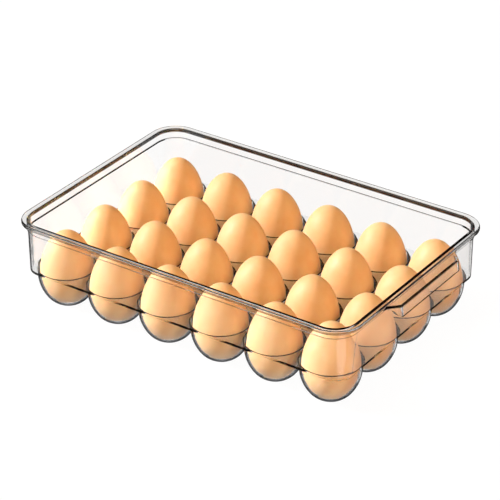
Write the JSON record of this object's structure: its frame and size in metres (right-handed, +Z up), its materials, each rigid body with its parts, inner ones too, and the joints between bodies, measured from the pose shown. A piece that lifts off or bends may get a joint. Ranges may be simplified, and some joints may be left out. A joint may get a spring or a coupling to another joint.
{
  "type": "egg holder tray",
  "caption": "Clear moulded refrigerator tray with a grid of round cups, upright walls, a flanged rim and a pull lip on one end, loaded with lift-out eggs.",
  "frame": {"origin": "centre of the bounding box in plan, on the plane the cups' feet stand on", "axes": "+Z up; +X along the long side, towards the pull lip; Y across the tray"},
  "size_m": [0.323, 0.213, 0.0785],
  "materials": {
    "clear_plastic": "gloss",
    "egg_shell": "satin"
  },
  "bodies": {
    "tray": {"tray": "clear_plastic"},
    "egg_row1_col1": {"egg_row1_col1": "egg_shell"},
    "egg_row1_col2": {"egg_row1_col2": "egg_shell"},
    "egg_row1_col3": {"egg_row1_col3": "egg_shell"},
    "egg_row1_col4": {"egg_row1_col4": "egg_shell"},
    "egg_row1_col5": {"egg_row1_col5": "egg_shell"},
    "egg_row1_col6": {"egg_row1_col6": "egg_shell"},
    "egg_row2_col1": {"egg_row2_col1": "egg_shell"},
    "egg_row2_col2": {"egg_row2_col2": "egg_shell"},
    "egg_row2_col3": {"egg_row2_col3": "egg_shell"},
    "egg_row2_col4": {"egg_row2_col4": "egg_shell"},
    "egg_row2_col5": {"egg_row2_col5": "egg_shell"},
    "egg_row2_col6": {"egg_row2_col6": "egg_shell"},
    "egg_row3_col1": {"egg_row3_col1": "egg_shell"},
    "egg_row3_col2": {"egg_row3_col2": "egg_shell"},
    "egg_row3_col3": {"egg_row3_col3": "egg_shell"},
    "egg_row3_col4": {"egg_row3_col4": "egg_shell"},
    "egg_row3_col5": {"egg_row3_col5": "egg_shell"},
    "egg_row3_col6": {"egg_row3_col6": "egg_shell"},
    "egg_row4_col1": {"egg_row4_col1": "egg_shell"},
    "egg_row4_col2": {"egg_row4_col2": "egg_shell"},
    "egg_row4_col3": {"egg_row4_col3": "egg_shell"},
    "egg_row4_col4": {"egg_row4_col4": "egg_shell"},
    "egg_row4_col5": {"egg_row4_col5": "egg_shell"},
    "egg_row4_col6": {"egg_row4_col6": "egg_shell"}
  },
  "joints": [
    {"name": "egg_row1_col1_lift", "type": "slide", "parent": "tray", "child": "egg_row1_col1", "axis": [0, 0, 1], "range_m": [0, 0.09]},
    {"name": "egg_row1_col2_lift", "type": "slide", "parent": "tray", "child": "egg_row1_col2", "axis": [0, 0, 1], "range_m": [0, 0.09]},
    {"name": "egg_row1_col3_lift", "type": "slide", "parent": "tray", "child": "egg_row1_col3", "axis": [0, 0, 1], "range_m": [0, 0.09]},
    {"name": "egg_row1_col4_lift", "type": "slide", "parent": "tray", "child": "egg_row1_col4", "axis": [0, 0, 1], "range_m": [0, 0.09]},
    {"name": "egg_row1_col5_lift", "type": "slide", "parent": "tray", "child": "egg_row1_col5", "axis": [0, 0, 1], "range_m": [0, 0.09]},
    {"name": "egg_row1_col6_lift", "type": "slide", "parent": "tray", "child": "egg_row1_col6", "axis": [0, 0, 1], "range_m": [0, 0.09]},
    {"name": "egg_row2_col1_lift", "type": "slide", "parent": "tray", "child": "egg_row2_col1", "axis": [0, 0, 1], "range_m": [0, 0.09]},
    {"name": "egg_row2_col2_lift", "type": "slide", "parent": "tray", "child": "egg_row2_col2", "axis": [0, 0, 1], "range_m": [0, 0.09]},
    {"name": "egg_row2_col3_lift", "type": "slide", "parent": "tray", "child": "egg_row2_col3", "axis": [0, 0, 1], "range_m": [0, 0.09]},
    {"name": "egg_row2_col4_lift", "type": "slide", "parent": "tray", "child": "egg_row2_col4", "axis": [0, 0, 1], "range_m": [0, 0.09]},
    {"name": "egg_row2_col5_lift", "type": "slide", "parent": "tray", "child": "egg_row2_col5", "axis": [0, 0, 1], "range_m": [0, 0.09]},
    {"name": "egg_row2_col6_lift", "type": "slide", "parent": "tray", "child": "egg_row2_col6", "axis": [0, 0, 1], "range_m": [0, 0.09]},
    {"name": "egg_row3_col1_lift", "type": "slide", "parent": "tray", "child": "egg_row3_col1", "axis": [0, 0, 1], "range_m": [0, 0.09]},
    {"name": "egg_row3_col2_lift", "type": "slide", "parent": "tray", "child": "egg_row3_col2", "axis": [0, 0, 1], "range_m": [0, 0.09]},
    {"name": "egg_row3_col3_lift", "type": "slide", "parent": "tray", "child": "egg_row3_col3", "axis": [0, 0, 1], "range_m": [0, 0.09]},
    {"name": "egg_row3_col4_lift", "type": "slide", "parent": "tray", "child": "egg_row3_col4", "axis": [0, 0, 1], "range_m": [0, 0.09]},
    {"name": "egg_row3_col5_lift", "type": "slide", "parent": "tray", "child": "egg_row3_col5", "axis": [0, 0, 1], "range_m": [0, 0.09]},
    {"name": "egg_row3_col6_lift", "type": "slide", "parent": "tray", "child": "egg_row3_col6", "axis": [0, 0, 1], "range_m": [0, 0.09]},
    {"name": "egg_row4_col1_lift", "type": "slide", "parent": "tray", "child": "egg_row4_col1", "axis": [0, 0, 1], "range_m": [0, 0.09]},
    {"name": "egg_row4_col2_lift", "type": "slide", "parent": "tray", "child": "egg_row4_col2", "axis": [0, 0, 1], "range_m": [0, 0.09]},
    {"name": "egg_row4_col3_lift", "type": "slide", "parent": "tray", "child": "egg_row4_col3", "axis": [0, 0, 1], "range_m": [0, 0.09]},
    {"name": "egg_row4_col4_lift", "type": "slide", "parent": "tray", "child": "egg_row4_col4", "axis": [0, 0, 1], "range_m": [0, 0.09]},
    {"name": "egg_row4_col5_lift", "type": "slide", "parent": "tray", "child": "egg_row4_col5", "axis": [0, 0, 1], "range_m": [0, 0.09]},
    {"name": "egg_row4_col6_lift", "type": "slide", "parent": "tray", "child": "egg_row4_col6", "axis": [0, 0, 1], "range_m": [0, 0.09]}
  ]
}
